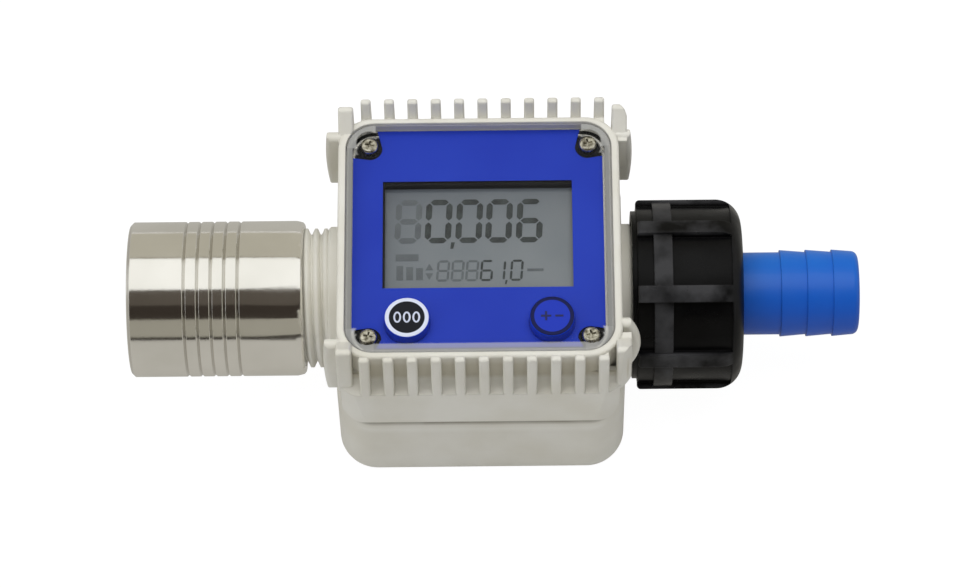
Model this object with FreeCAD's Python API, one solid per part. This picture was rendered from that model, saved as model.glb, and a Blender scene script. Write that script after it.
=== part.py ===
"""Turbine flow meter: finned display head on a threaded body, with a steel coupling and a hose union.

+X runs along the pipe towards the hose tail, +Z comes out of the display.
The origin is the centre of the base's flat underside.  Millimetres throughout.
"""
import FreeCAD, Part
import math
import os

V = FreeCAD.Vector

# ---- pipe and thread -------------------------------------------------------
AXIS_Z = 28.0                # height of the pipe axis
SLEEVE_R = 18.5              # steel coupling
SLEEVE_WALL = 3.35           # from the coupling's outside to the root of the male thread
THREAD_ROOT_R = SLEEVE_R - SLEEVE_WALL       # G1 thread of the male stubs
THREAD_FIT = 0.25            # radial gap between a male root and a female thread's bore
STUB_END = 53.0              # half length of the body between its stub ends
STUB_CHAMFER = 1.2
COLLAR_R = 17.0              # plain collar between the body and each thread
COLLAR_END = 36.0
COLLAR_CHAMFER = 0.5
BORE_R = 12.5                # flow bore of the stubs
CHAMBER_R = 11.9             # measuring chamber around the rotor
CHAMBER_HALF = 12.0
TUBE_R = 17.0                # outside of the tube where it crosses the body
TUBE_FIT = 0.3               # gap between the tube and the head's saddle

# ---- cover: the head, the panel and the base take their plan from it -------
COVER_HX, COVER_HY, COVER_CORNER_R = 31.2, 30.4, 6.6
COVER_THICK = 3.0
COVER_FIT = 0.15
COVER_DROP = 0.3             # the cover lies this far below the rim
COVER_EDGE_R = 0.6
PANEL_EDGE_X, PANEL_EDGE_Y = 2.2, 1.9        # clear border of the cover round the panel
PANEL_HX, PANEL_HY = COVER_HX - PANEL_EDGE_X, COVER_HY - PANEL_EDGE_Y
PANEL_THICK, PANEL_CORNER_R = 0.4, 1.5
WINDOW_HX, WINDOW_HY = PANEL_HX - 6.9, PANEL_HY - 14.3
WINDOW_Y = 1.4
SCREW_X, SCREW_Y = COVER_HX - 5.4, COVER_HY - 4.9
SCREW_R, SCREW_HEAD_R, SCREW_HEAD_H = 1.4, 2.1, 1.4
SCREW_HEAD_EDGE_R = 0.7
CROSS_HALF, CROSS_WIDTH, CROSS_DEPTH, CROSS_TURN = 1.1, 0.44, 0.8, 12.0      # cross recess
SCREW_HOLE_R, COUNTERBORE_R, COUNTERBORE_H = 1.75, 2.9, 2.4
SCREW_NOTCH_R = 3.9          # notch in the panel round each screw
SCREW_ENTRY = 12.0           # how far a screw reaches into the base
SCREW_GRIP = 0.05            # clearance of a screw's tip in its pilot hole
CORD_WIDTH, CORD_HEIGHT, CORD_EDGE, CORD_FIT = 0.9, 0.8, 0.5, 0.05   # seal under the cover
CARRIER_THICK = 2.0
LCD_HX, LCD_HY, LCD_THICK = WINDOW_HX + 1.1, WINDOW_HY + 0.8, 2.0
LCD_RECESS = 0.3
STRIP_THICK, STRIP_HEIGHT, STRIP_INSET = 1.6, 0.8, 1.0
BOARD_THICK = 1.6
BOARD_GAP = 1.6              # space under the board
BOARD_FIT = 0.2
BOARD_SCREW_R, BOARD_SCREW_HEAD_R, BOARD_SCREW_HEAD_H, BOARD_SCREW_LEN = 0.9, 1.7, 1.0, 4.0
BOARD_SCREW_Y = 12.0
BOARD_PILOT_DEPTH = 3.0
REED_R, REED_LEN, REED_FLAT = 0.75, 13.0, 0.05

# ---- base ------------------------------------------------------------------
HEAD_HX, HEAD_HY = COVER_HX + 1.9, COVER_HY + 1.6
BASE_HX, BASE_HY = HEAD_HX + 0.9, HEAD_HY + 2.2
BASE_TOP = AXIS_Z + 3.5
BASE_CORNER_R, BASE_FOOT_R, BASE_TOP_R = 9.0, 7.0, 1.6
BASE_WALL = 3.0
BOSS_R = 3.6                 # screw bosses in the base
BOSS_WEB = 2.0
PILOT_R = 1.25               # pilot hole of the long screws
PILOT_DEPTH = 16.0

# ---- head ------------------------------------------------------------------
SEAL_THICK = 1.0             # flat seal between base and head
SEAL_INSET, SEAL_WIDTH = 2.0, 1.8
HEAD_CORNER_R = 8.0
RIM_R = 0.7
GUARD_SIDE = 4.4             # how far the bands stand out of the long walls
GUARD_END = 3.3              # how far the guards stand out of the end walls
GUARD_DRAFT = 1.3            # the guards lean in by this much over their height
GUARD_CORNER_R = 11.0
GUARD_ROOT = 1.5             # how deep fins and lugs are rooted in the wall
BAND_HEIGHT = 13.9           # the fins stand on this smooth band
BAND_HALF = HEAD_HX - 0.7
BAND_END_R = 6.0
BAND_FOOT_R = 1.6
FIN_RISE = 3.9               # the fins guard the face: they rise past the rim
FIN_THICK = 2.4
FIN_PITCH = HEAD_HX / 6.0
FIN_SHIFT = 1.0              # the middle fin stands this far off the centre
FINS_EACH_SIDE = 11
FIN_TIP = 1.4                # width of a fin's top before its edges are rounded
FIN_EDGE_R = 0.6
CORNER_FIN_THICK = 3.6       # wider fins at the corners, sloping to the rim's corner
CORNER_FIN_X = COVER_HX + 1.1                # from the middle fin
CORNER_FIN_FOOT_Y = HEAD_HY - 5.0
CORNER_FIN_INSET = 2.0       # they stand this much nearer the middle than the row
LUG_THICK = 2.6
LUG_Y = HEAD_HY - 4.4        # middle of each corner lug
LUG_TOP, LUG_BOTTOM = 0.2, 21.5              # below the rim
LUG_EDGE_R = 1.2
LUG_BOW = 0.5                # how far a lug's outer edge bows out
BUMPER_Y = HEAD_HY - 9.2     # the lug beside the union nut sits nearer the middle
BUMPER_END = 4.3             # and stands further out, with a rounder edge
BUMPER_BOW = 2.4
CAVITY_HX, CAVITY_HY, CAVITY_CORNER_R = COVER_HX - 2.0, COVER_HY - 1.7, 5.0
HEAD_FLOOR = 1.3             # floor of the cavity over the tube's saddle
BOARD_HX, BOARD_HY = CAVITY_HX - 1.2, CAVITY_HY - 1.1
BOARD_SCREW_X = BOARD_HX - 2.6

# ---- buttons ---------------------------------------------------------------
BUTTON_X, BUTTON_Y = COVER_HX - 14.4, -(COVER_HY - 9.1)
BUTTON_R, BUTTON_FIT, BUTTON_EDGE_R = 5.2, 0.2, 0.4
BUTTON_PROUD = 0.15
BUTTON_LIFT = 0.1            # gap between a button's flange and the panel
BUTTON_SPARE = 0.2           # gap left in the switch at full travel
BUTTON_FLANGE_R, BUTTON_FLANGE_H, BUTTON_STEM_R = 6.0, 0.8, 1.4
BUTTON_TRAVEL = 0.8
SWITCH_HALF, SWITCH_H, SWITCH_HOLE_R, SWITCH_FLOOR = 3.0, 2.4, 1.7, 0.4

# ---- batteries -------------------------------------------------------------
CELL_R, CELL_FIT = 5.1, 0.2
CELL_SCREW_GAP = 3.55        # from a cell's end to the middle of a screw
CELL_LEN = 2 * (SCREW_X - CELL_SCREW_GAP)
CELL_COVER = 2.0             # space above the cells, under the cavity's floor level
TUBE_WALL_GAP = 0.9          # wall between the tube's saddle and a trough
CELL_CAP_R, CELL_CAP_LEN = 1.9, 0.8
CONTACT_THICK, CONTACT_HALF, CONTACT_BUMP_R, CONTACT_BUMP = 0.4, 4.0, 1.5, 0.5

# ---- turbine ---------------------------------------------------------------
ROTOR_HALF, ROTOR_R, HUB_R = 6.0, 11.4, 4.2
BLADES, BLADE_THICK, BLADE_TWIST = 6, 1.3, 52.0
BLADE_ROOT = 1.0             # how deep a blade is rooted in the hub
SHAFT_R, SHAFT_HALF, SHAFT_PRESS = 1.5, 12.6, 0.02
SHAFT_CLEAR = 0.3            # gap between the shaft and a diffuser's hub
SHAFT_END_GAP = 0.4
BUSH_R, BUSH_LEN, BUSH_FIT, BUSH_PRESS = 2.6, 5.0, 0.03, 0.02
ROTOR_GAP = 1.2              # end play between rotor and bushes
CARRIER_RING_WALL, CARRIER_RING_LEN, CARRIER_FIT = 1.2, 12.0, 0.1
CARRIER_HUB_LEN, CARRIER_HUB_PLAIN = 14.0, 6.0
VANES, VANE_THICK, VANE_TURN = 4, 1.2, 45.0
VANE_START, VANE_STOP, VANE_ROOT_R = 0.5, 2.0, 1.0    # vane ends inside the ring, and its root
SNAP_THICK, SNAP_DEPTH, SNAP_WALL, SNAP_GAP, SNAP_FIT = 1.2, 0.9, 1.6, 7.0, 0.05
MAGNET_R, MAGNET_LEN, MAGNET_AT_R, MAGNET_FIT = 0.9, 4.0, 2.85, 0.05

# ---- steel coupling --------------------------------------------------------
SLEEVE_LEFT, SLEEVE_RIGHT = -83.3, -41.8
SLEEVE_CHAMFER, SLEEVE_MOUTH = 0.8, 1.0
GROOVES, GROOVE_PITCH, GROOVE_HALF, GROOVE_DEPTH = 5, 3.17, 0.45, 0.4
GROOVE_MIDDLE = -63.4
RELIEF_FROM, RELIEF_LEN, RELIEF_DEPTH = -58.5, 4.0, 1.6

# ---- union: washer, hose tail, nut -----------------------------------------
WASHER_R, WASHER_BORE_R, WASHER_THICK = 14.6, 10.5, 2.0
TAIL_R, TAIL_BORE_R, TAIL_END = 9.83, 7.6, 90.1
TAIL_FLANGE_R, TAIL_FLANGE_THICK = 14.8, 3.0
BARBS, BARB_FIRST, BARB_PITCH, BARB_RISE = 3, 71.5, 6.2, 0.52
TAIL_TIP_R = 1.6
NUT_LEFT, NUT_RIGHT = 36.0, 62.2
NUT_RIB_R, NUT_CORE_R, NUT_BACK_R = 22.6, 20.9, 6.0
NUT_RIBS, NUT_RIB_W, NUT_RIB_ROOT, NUT_TURN = 8, 4.0, 2.0, 28.0
NUT_BAND_W, NUT_FRONT_R = 2.8, 0.9
NUT_RING_FROM, NUT_RING_TO, NUT_RING_R = 41.0, 45.4, 22.0
NUT_SKIRT_R, NUT_SKIRT_TO = 20.0, 37.2
NUT_HOLLOW_R, NUT_HOLLOW_LEN = 17.6, 2.6
NUT_REAR_BORE_R = 10.8
NUT_PLAY = 0.2               # end play between nut and flange


def slab(x0, x1, y0, y1, z0, z1):
    """Box between two opposite corners."""
    return Part.makeBox(x1 - x0, y1 - y0, z1 - z0, V(x0, y0, z0))


def rounded_prism(hx, hy, corner, z0, z1):
    """Upright prism with rounded corners, centred on the Z axis."""
    body = slab(-hx, hx, -hy, hy, z0, z1)
    upright = [e for e in body.Edges if abs(e.Length - (z1 - z0)) < 1e-6
               and abs(e.tangentAt(e.FirstParameter).z) > 0.99]
    return body.makeFillet(corner, upright)


def post(r, z0, z1, x=0.0, y=0.0):
    """Upright cylinder."""
    return Part.makeCylinder(r, z1 - z0, V(x, y, z0))


def pipe(r, x0, x1):
    """Cylinder on the pipe axis."""
    return Part.makeCylinder(r, x1 - x0, V(x0, 0, AXIS_Z), V(1, 0, 0))


def turned(points):
    """Solid of revolution about the pipe axis from (x, radius) points."""
    loop = [V(x, 0, AXIS_Z + r) for x, r in points]
    face = Part.Face(Part.makePolygon(loop + loop[:1]))
    return face.revolve(V(0, 0, AXIS_Z), V(1, 0, 0), 360)


def fuse(shapes):
    """One solid from several that meet."""
    whole = shapes[0].fuse(list(shapes[1:])) if len(shapes) > 1 else shapes[0]
    return whole.removeSplitter()


def spin_x(shape, degrees):
    """Copy of a shape turned about the pipe axis."""
    copy = shape.copy()
    copy.rotate(V(0, 0, AXIS_Z), V(1, 0, 0), degrees)
    return copy


def mirror_x(shape):
    """Copy of a shape mirrored from +X to -X."""
    return shape.mirror(V(0, 0, 0), V(1, 0, 0))


def corners(x, y):
    """The four places at (+-x, +-y)."""
    return [(sx * x, sy * y) for sx in (-1, 1) for sy in (-1, 1)]


def level_edges(shape, z):
    """Edges that lie in the plane at height z."""
    return [e for e in shape.Edges
            if all(abs(v.Z - z) < 1e-6 for v in e.Vertexes) and abs(e.CenterOfMass.z - z) < 1e-6]


def write(name, shapes):
    """Export one node; several shapes stay separate solids."""
    shapes = shapes if isinstance(shapes, list) else [shapes]
    whole = shapes[0] if len(shapes) == 1 else Part.makeCompound(shapes)
    whole.exportStep("parts/%s.step" % name)
    print(name, len(whole.Solids), round(whole.Volume, 1), whole.isValid())


HEAD_BOTTOM_Z = BASE_TOP + SEAL_THICK
CAVITY_FLOOR_Z = AXIS_Z + TUBE_R + TUBE_FIT + HEAD_FLOOR
TROUGH_FLOOR_Z = CAVITY_FLOOR_Z - CELL_COVER - 2 * (CELL_R + CELL_FIT)
TROUGH_IN_Y = TUBE_R + TUBE_WALL_GAP
BOARD_BOTTOM_Z = CAVITY_FLOOR_Z + BOARD_GAP
BOARD_TOP_Z = BOARD_BOTTOM_Z + BOARD_THICK
LCD_BOTTOM_Z = BOARD_TOP_Z + STRIP_HEIGHT
LCD_TOP_Z = LCD_BOTTOM_Z + LCD_THICK
CARRIER_BOTTOM_Z = LCD_TOP_Z - LCD_RECESS
PANEL_BOTTOM_Z = CARRIER_BOTTOM_Z + CARRIER_THICK
COVER_BOTTOM_Z = PANEL_BOTTOM_Z + PANEL_THICK
COVER_TOP_Z = COVER_BOTTOM_Z + COVER_THICK
RIM_Z = COVER_TOP_Z + COVER_DROP
FIN_TOP_Z = RIM_Z + FIN_RISE
BAND_TOP_Z = HEAD_BOTTOM_Z + BAND_HEIGHT
GUARD_HX = HEAD_HX + GUARD_END
GUARD_HY = HEAD_HY + GUARD_SIDE
CARRIER_X = CHAMBER_HALF                                # ring of a diffuser starts at the bore's step
BUSH_X = ROTOR_HALF + ROTOR_GAP                         # inner face of a bush
SNAP_X = CARRIER_X + CARRIER_RING_LEN
FLANGE_X = STUB_END + WASHER_THICK
FLANGE_BACK_X = FLANGE_X + TAIL_FLANGE_THICK
NUT_SEAT_X = FLANGE_BACK_X + NUT_PLAY
THREAD_BORE_R = THREAD_ROOT_R + THREAD_FIT
CELL_Y = TROUGH_IN_Y + CELL_R + CELL_FIT
TROUGH_HX = CELL_LEN / 2 + CONTACT_BUMP + CONTACT_THICK
TROUGH_OUT_Y = CELL_Y + CELL_R + CELL_FIT
CELL_Z = TROUGH_FLOOR_Z + CELL_R + CELL_FIT


# ---- body ------------------------------------------------------------------

def meter_body():
    """Base block, tube, collars and threaded stubs in one moulding."""
    block = rounded_prism(BASE_HX, BASE_HY, BASE_CORNER_R, 0, BASE_TOP)
    block = block.makeFillet(BASE_FOOT_R, level_edges(block, 0))
    block = block.makeFillet(BASE_TOP_R, level_edges(block, BASE_TOP))
    hollow = rounded_prism(BASE_HX - BASE_WALL, BASE_HY - BASE_WALL, BASE_CORNER_R - BASE_WALL,
                           BASE_WALL, BASE_TOP + 1)
    hollow = hollow.makeFillet(BASE_FOOT_R - BASE_WALL, level_edges(hollow, BASE_WALL))
    inside = []
    for x, y in corners(SCREW_X, SCREW_Y):
        inside.append(post(BOSS_R, 0, BASE_TOP, x, y))
        side = math.copysign(BASE_HX, x)
        inside.append(slab(min(x, side), max(x, side), y - BOSS_WEB / 2, y + BOSS_WEB / 2, 0, BASE_TOP))
    inside.append(slab(-BOSS_WEB / 2, BOSS_WEB / 2, -BASE_HY, BASE_HY, 0, AXIS_Z - CHAMBER_R))
    frame = fuse(inside).common(block)
    body = fuse([block.cut(hollow), frame, pipe(TUBE_R, -BASE_HX, BASE_HX), stubs()])
    cuts = [flow_bore()]
    cuts += [post(PILOT_R, BASE_TOP - PILOT_DEPTH, BASE_TOP + 1, x, y) for x, y in corners(SCREW_X, SCREW_Y)]
    return body.cut(cuts)


def stubs():
    """Collar and threaded stub at each end, plain at the thread's root."""
    half = [(0, 1), (0, COLLAR_R), (COLLAR_END - COLLAR_CHAMFER, COLLAR_R),
            (COLLAR_END, COLLAR_R - COLLAR_CHAMFER), (COLLAR_END, THREAD_ROOT_R),
            (STUB_END - STUB_CHAMFER, THREAD_ROOT_R), (STUB_END, THREAD_ROOT_R - STUB_CHAMFER), (STUB_END, 1)]
    right = turned(half)
    return right.fuse(mirror_x(right))


def flow_bore():
    """Through bore with the narrower chamber and the two ring grooves."""
    groove_r = BORE_R + SNAP_DEPTH
    groove_end = SNAP_X + SNAP_THICK
    return fuse([pipe(BORE_R, -STUB_END - 1, -CHAMBER_HALF), pipe(CHAMBER_R, -CHAMBER_HALF, CHAMBER_HALF),
                 pipe(BORE_R, CHAMBER_HALF, STUB_END + 1),
                 pipe(groove_r, SNAP_X, groove_end), pipe(groove_r, -groove_end, -SNAP_X)])


def housing_gasket():
    """Flat seal that follows the base's top wall and stops at the tube."""
    outer, inner = SEAL_INSET, SEAL_INSET + SEAL_WIDTH
    ring, hole = [rounded_prism(BASE_HX - inset, BASE_HY - inset, BASE_CORNER_R - inset,
                                BASE_TOP, HEAD_BOTTOM_Z) for inset in (outer, inner)]
    seal = ring.cut(hole).cut(pipe(TUBE_R + TUBE_FIT, -BASE_HX, BASE_HX))
    return seal.Solids


# ---- head ------------------------------------------------------------------

def lean(z):
    """How far the guards have leaned in at a height."""
    return GUARD_DRAFT * (z - HEAD_BOTTOM_Z) / (FIN_TOP_Z - HEAD_BOTTOM_Z)


def bar_x(points, x0, x1):
    """Prism along X from (y, z) points."""
    loop = [V(x0, y, z) for y, z in points]
    face = Part.Face(Part.makePolygon(loop + loop[:1]))
    return face.extrude(V(x1 - x0, 0, 0))


def guard_outline(top):
    """Rounded, leaning outline that every fin and band is cut to."""
    outline = rounded_prism(GUARD_HX, GUARD_HY, GUARD_CORNER_R, HEAD_BOTTOM_Z, top)
    low, high = GUARD_HY, GUARD_HY - lean(top)
    section = [(-low, HEAD_BOTTOM_Z), (low, HEAD_BOTTOM_Z), (high, top), (-high, top)]
    wedge = bar_x(section, -GUARD_HX, GUARD_HX)
    return outline.common(wedge)


def fin(x, thick, foot_y, inset=0.0):
    """Fin of the +Y side: its inner edge slopes from the rim up to a narrow top."""
    top_y = GUARD_HY - lean(FIN_TOP_Z) - inset
    foot_z = RIM_Z - RIM_R
    root_z = BAND_TOP_Z - GUARD_ROOT
    points = [(foot_y - GUARD_ROOT, root_z), (GUARD_HY - lean(root_z) - inset, root_z), (top_y, FIN_TOP_Z),
              (top_y - FIN_TIP, FIN_TOP_Z), (foot_y, foot_z), (foot_y - GUARD_ROOT, foot_z)]
    plate = bar_x(points, x - thick / 2, x + thick / 2)
    edges = [e for e in plate.Edges
             if e.CenterOfMass.y > foot_y + FIN_EDGE_R and e.CenterOfMass.z > BAND_TOP_Z]
    return plate.makeFillet(FIN_EDGE_R, edges)


def fin_rows():
    """Regular fins on both long sides, with a wider one at each corner."""
    first = FIN_SHIFT - FIN_PITCH * (FINS_EACH_SIDE - 1) / 2.0
    row = [fin(first + FIN_PITCH * i, FIN_THICK, HEAD_HY) for i in range(FINS_EACH_SIDE)]
    row += [fin(FIN_SHIFT + side * CORNER_FIN_X, CORNER_FIN_THICK, CORNER_FIN_FOOT_Y, CORNER_FIN_INSET)
            for side in (-1, 1)]
    outline = guard_outline(FIN_TOP_Z)
    far = [f.common(outline) for f in row]
    near = [f.mirror(V(0, 0, 0), V(0, 1, 0)) for f in far]
    return far + near


def band():
    """Smooth band below the fins on each long side, hollowed up to the wall between them."""
    bottom = HEAD_BOTTOM_Z
    reach = GUARD_HY - lean(BAND_TOP_Z) - HEAD_HY
    bars = []
    for side in (-1, 1):
        y0, y1 = sorted((side * (HEAD_HY - GUARD_ROOT), side * GUARD_HY))
        whole = slab(-BAND_HALF, BAND_HALF, y0, y1, bottom, BAND_TOP_Z + reach)
        ends = [e for e in whole.Edges if abs(e.tangentAt(e.FirstParameter).y) > 0.99
                and abs(e.CenterOfMass.z - bottom) < 1e-6]
        whole = whole.makeFillet(BAND_END_R, ends)
        start = V(-GUARD_HX, side * (HEAD_HY + reach), BAND_TOP_Z + reach)
        hollow = Part.makeCylinder(reach, 2 * GUARD_HX, start, V(1, 0, 0))
        whole = whole.common(guard_outline(BAND_TOP_Z + reach))
        foot = [e for e in level_edges(whole, bottom) if e.Length > BAND_HALF]
        foot = [e for e in foot if side * e.CenterOfMass.y > HEAD_HY]
        bars.append(whole.makeFillet(BAND_FOOT_R, foot).cut(hollow))
    return bars


def lug(y, side, stand, bow):
    """Corner plate on the +X or -X wall with rounded edges and a bowed outer edge."""
    top, bottom = RIM_Z - LUG_TOP, RIM_Z - LUG_BOTTOM
    wall, outer = HEAD_HX - GUARD_ROOT, HEAD_HX + stand
    start, end = V(outer - bow, y - LUG_THICK / 2, bottom), V(outer - bow, y - LUG_THICK / 2, top)
    edge = Part.Arc(start, V(outer, start.y, (top + bottom) / 2), end).toShape()
    sides = Part.makePolygon([end, V(wall, start.y, top), V(wall, start.y, bottom), start])
    plate = Part.Face(Part.Wire([edge] + sides.Edges)).extrude(V(0, LUG_THICK, 0))
    edges = [e for e in plate.Edges if e.CenterOfMass.x > HEAD_HX and e.Length > LUG_THICK + 0.1]
    plate = plate.makeFillet(LUG_EDGE_R, edges)
    return plate if side > 0 else mirror_x(plate)


def head_shell():
    """Outside of the head: core with a soft rim, bands, fins and lugs."""
    core = rounded_prism(HEAD_HX, HEAD_HY, HEAD_CORNER_R, HEAD_BOTTOM_Z, RIM_Z)
    core = core.makeFillet(RIM_R, level_edges(core, RIM_Z))
    lugs = [lug(y, side, GUARD_END, LUG_BOW) for y, side in ((LUG_Y, -1), (LUG_Y, 1), (-LUG_Y, -1))]
    lugs.append(lug(-BUMPER_Y, 1, BUMPER_END, BUMPER_BOW))
    return fuse([core] + band() + fin_rows() + lugs)


def display_housing():
    """Finned head with the cover's seat, the board's cavity and the battery troughs."""
    seat = rounded_prism(COVER_HX + COVER_FIT, COVER_HY + COVER_FIT, COVER_CORNER_R + COVER_FIT,
                         COVER_BOTTOM_Z, FIN_TOP_Z + 1)
    cavity = rounded_prism(CAVITY_HX, CAVITY_HY, CAVITY_CORNER_R, CAVITY_FLOOR_Z, COVER_BOTTOM_Z + 1)
    towers = [post(BOSS_R, CAVITY_FLOOR_Z, CARRIER_BOTTOM_Z, x, y) for x, y in corners(SCREW_X, SCREW_Y)]
    cavity = cavity.cut(towers)
    saddle = pipe(TUBE_R + TUBE_FIT, -GUARD_HX - 2, GUARD_HX + 2)
    cuts = [seat, cavity, saddle, cord_ring(CORD_FIT)]
    for side in (-1, 1):
        y0, y1 = sorted((side * TROUGH_IN_Y, side * TROUGH_OUT_Y))
        cuts.append(slab(-TROUGH_HX, TROUGH_HX, y0, y1, TROUGH_FLOOR_Z, CAVITY_FLOOR_Z + 1))
    for x, y in corners(SCREW_X, SCREW_Y):
        cuts.append(post(SCREW_HOLE_R, HEAD_BOTTOM_Z - 1, COVER_BOTTOM_Z + 1, x, y))
    shell = head_shell().cut(cuts)
    pillars = [post(BOARD_SCREW_HEAD_R, CAVITY_FLOOR_Z - 1, BOARD_BOTTOM_Z, x, y)
               for x, y in corners(BOARD_SCREW_X, BOARD_SCREW_Y)]
    shell = fuse([shell] + pillars)
    pilots = [post(BOARD_SCREW_R, BOARD_BOTTOM_Z - BOARD_PILOT_DEPTH, BOARD_BOTTOM_Z + 1, x, y)
              for x, y in corners(BOARD_SCREW_X, BOARD_SCREW_Y)]
    return shell.cut(pilots)


def cord_ring(fit=0.0):
    """Seal cord under the cover's edge, or its groove with a fit."""
    hx, hy, corner = COVER_HX - CORD_EDGE + fit, COVER_HY - CORD_EDGE + fit, COVER_CORNER_R - CORD_EDGE + fit
    inner = CORD_WIDTH + 2 * fit
    bottom, top = COVER_BOTTOM_Z - CORD_HEIGHT - fit, COVER_BOTTOM_Z
    ring = rounded_prism(hx, hy, corner, bottom, top)
    return ring.cut(rounded_prism(hx - inner, hy - inner, corner - inner, bottom, top))


def face_holes(z0, z1, button_r):
    """Round holes for the two buttons."""
    return [post(button_r, z0, z1, side * BUTTON_X, BUTTON_Y) for side in (-1, 1)]


def clear_cover():
    """Clear window with screw counterbores and button holes."""
    plate = rounded_prism(COVER_HX, COVER_HY, COVER_CORNER_R, COVER_BOTTOM_Z, COVER_TOP_Z)
    plate = plate.makeFillet(COVER_EDGE_R, level_edges(plate, COVER_TOP_Z))
    cuts = face_holes(COVER_BOTTOM_Z - 1, COVER_TOP_Z + 1, BUTTON_R + BUTTON_FIT)
    for x, y in corners(SCREW_X, SCREW_Y):
        cuts.append(post(SCREW_HOLE_R, COVER_BOTTOM_Z - 1, COVER_TOP_Z + 1, x, y))
        cuts.append(post(COUNTERBORE_R, COVER_TOP_Z - COUNTERBORE_H, COVER_TOP_Z + 1, x, y))
    return plate.cut(cuts)


def face_panel():
    """Thin printed panel with the display window, notched round the screws."""
    plate = rounded_prism(PANEL_HX, PANEL_HY, PANEL_CORNER_R, PANEL_BOTTOM_Z, COVER_BOTTOM_Z)
    cuts = face_holes(PANEL_BOTTOM_Z - 1, COVER_BOTTOM_Z + 1, BUTTON_R + BUTTON_FIT)
    cuts.append(slab(-WINDOW_HX, WINDOW_HX, WINDOW_Y - WINDOW_HY, WINDOW_Y + WINDOW_HY,
                     PANEL_BOTTOM_Z - 1, COVER_BOTTOM_Z + 1))
    reach = PANEL_HX - SCREW_X + SCREW_NOTCH_R
    for x, y in corners(SCREW_X, SCREW_Y):
        cuts.append(post(SCREW_NOTCH_R, PANEL_BOTTOM_Z - 1, COVER_BOTTOM_Z + 1, x, y))
        cuts.append(slab(min(x, x + math.copysign(reach, x)), max(x, x + math.copysign(reach, x)),
                         min(y, y + math.copysign(reach, y)), max(y, y + math.copysign(reach, y)),
                         PANEL_BOTTOM_Z - 1, COVER_BOTTOM_Z + 1))
    return plate.cut(cuts)


def display_carrier():
    """Frame that sits on the head's towers, holds the glass and guides the buttons."""
    fit = BOARD_FIT
    plate = rounded_prism(CAVITY_HX - fit, CAVITY_HY - fit, CAVITY_CORNER_R - fit,
                          CARRIER_BOTTOM_Z, PANEL_BOTTOM_Z)
    cuts = face_holes(CARRIER_BOTTOM_Z - 1, PANEL_BOTTOM_Z + 1, BUTTON_FLANGE_R + BUTTON_FIT)
    cuts.append(slab(-WINDOW_HX, WINDOW_HX, WINDOW_Y - WINDOW_HY, WINDOW_Y + WINDOW_HY,
                     CARRIER_BOTTOM_Z - 1, PANEL_BOTTOM_Z + 1))
    cuts.append(slab(-LCD_HX - fit, LCD_HX + fit, WINDOW_Y - LCD_HY - fit, WINDOW_Y + LCD_HY + fit,
                     CARRIER_BOTTOM_Z - 1, LCD_TOP_Z))
    cuts += [post(SCREW_HOLE_R, CARRIER_BOTTOM_Z - 1, PANEL_BOTTOM_Z + 1, x, y)
             for x, y in corners(SCREW_X, SCREW_Y)]
    return plate.cut(cuts)


def lcd_module():
    """Display glass."""
    return slab(-LCD_HX, LCD_HX, WINDOW_Y - LCD_HY, WINDOW_Y + LCD_HY, LCD_BOTTOM_Z, LCD_TOP_Z)


def contact_strips():
    """Elastomer strips that join the glass to the board."""
    strips = []
    for side in (-1, 1):
        y = WINDOW_Y + side * (LCD_HY - STRIP_THICK)
        strips.append(slab(-LCD_HX + STRIP_INSET, LCD_HX - STRIP_INSET,
                           y - STRIP_THICK / 2, y + STRIP_THICK / 2, BOARD_TOP_Z, LCD_BOTTOM_Z))
    return strips


def circuit_board():
    """Board notched round the screw towers."""
    board = rounded_prism(BOARD_HX, BOARD_HY, CAVITY_CORNER_R - 1, BOARD_BOTTOM_Z, BOARD_TOP_Z)
    cuts = [post(BOSS_R + BOARD_FIT, BOARD_BOTTOM_Z - 1, BOARD_TOP_Z + 1, x, y)
            for x, y in corners(SCREW_X, SCREW_Y)]
    notch_x, notch_y = SCREW_X - BOARD_FIT / 2, SCREW_Y - BOARD_FIT / 2
    outside = slab(-BOARD_HX, BOARD_HX, -BOARD_HY, BOARD_HY, BOARD_BOTTOM_Z - 1, BOARD_TOP_Z + 1)
    cross = [slab(-notch_x, notch_x, -BOARD_HY, BOARD_HY, BOARD_BOTTOM_Z - 1, BOARD_TOP_Z + 1),
             slab(-BOARD_HX, BOARD_HX, -notch_y, notch_y, BOARD_BOTTOM_Z - 1, BOARD_TOP_Z + 1)]
    cuts.append(outside.cut(cross))
    cuts += [post(BOARD_SCREW_R + BOARD_FIT / 2, BOARD_BOTTOM_Z - 1, BOARD_TOP_Z + 1, x, y)
             for x, y in corners(BOARD_SCREW_X, BOARD_SCREW_Y)]
    return board.cut(cuts)


def board_screws():
    """Four small screws from the board into the head's pillars."""
    screws = []
    for x, y in corners(BOARD_SCREW_X, BOARD_SCREW_Y):
        head = post(BOARD_SCREW_HEAD_R, BOARD_TOP_Z, BOARD_TOP_Z + BOARD_SCREW_HEAD_H, x, y)
        shank = post(BOARD_SCREW_R - SCREW_GRIP, BOARD_TOP_Z - BOARD_SCREW_LEN, BOARD_TOP_Z, x, y)
        screws.append(fuse([head, shank]))
    return screws


def tact_switches():
    """A small switch on the board under each button, with its plunger hole."""
    switches = []
    for side in (-1, 1):
        x = side * BUTTON_X
        body = slab(x - SWITCH_HALF, x + SWITCH_HALF, BUTTON_Y - SWITCH_HALF, BUTTON_Y + SWITCH_HALF,
                    BOARD_TOP_Z, BOARD_TOP_Z + SWITCH_H)
        hole = post(SWITCH_HOLE_R, BOARD_TOP_Z + SWITCH_FLOOR, BOARD_TOP_Z + SWITCH_H + 1, x, BUTTON_Y)
        switches.append(body.cut(hole))
    return switches


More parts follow.
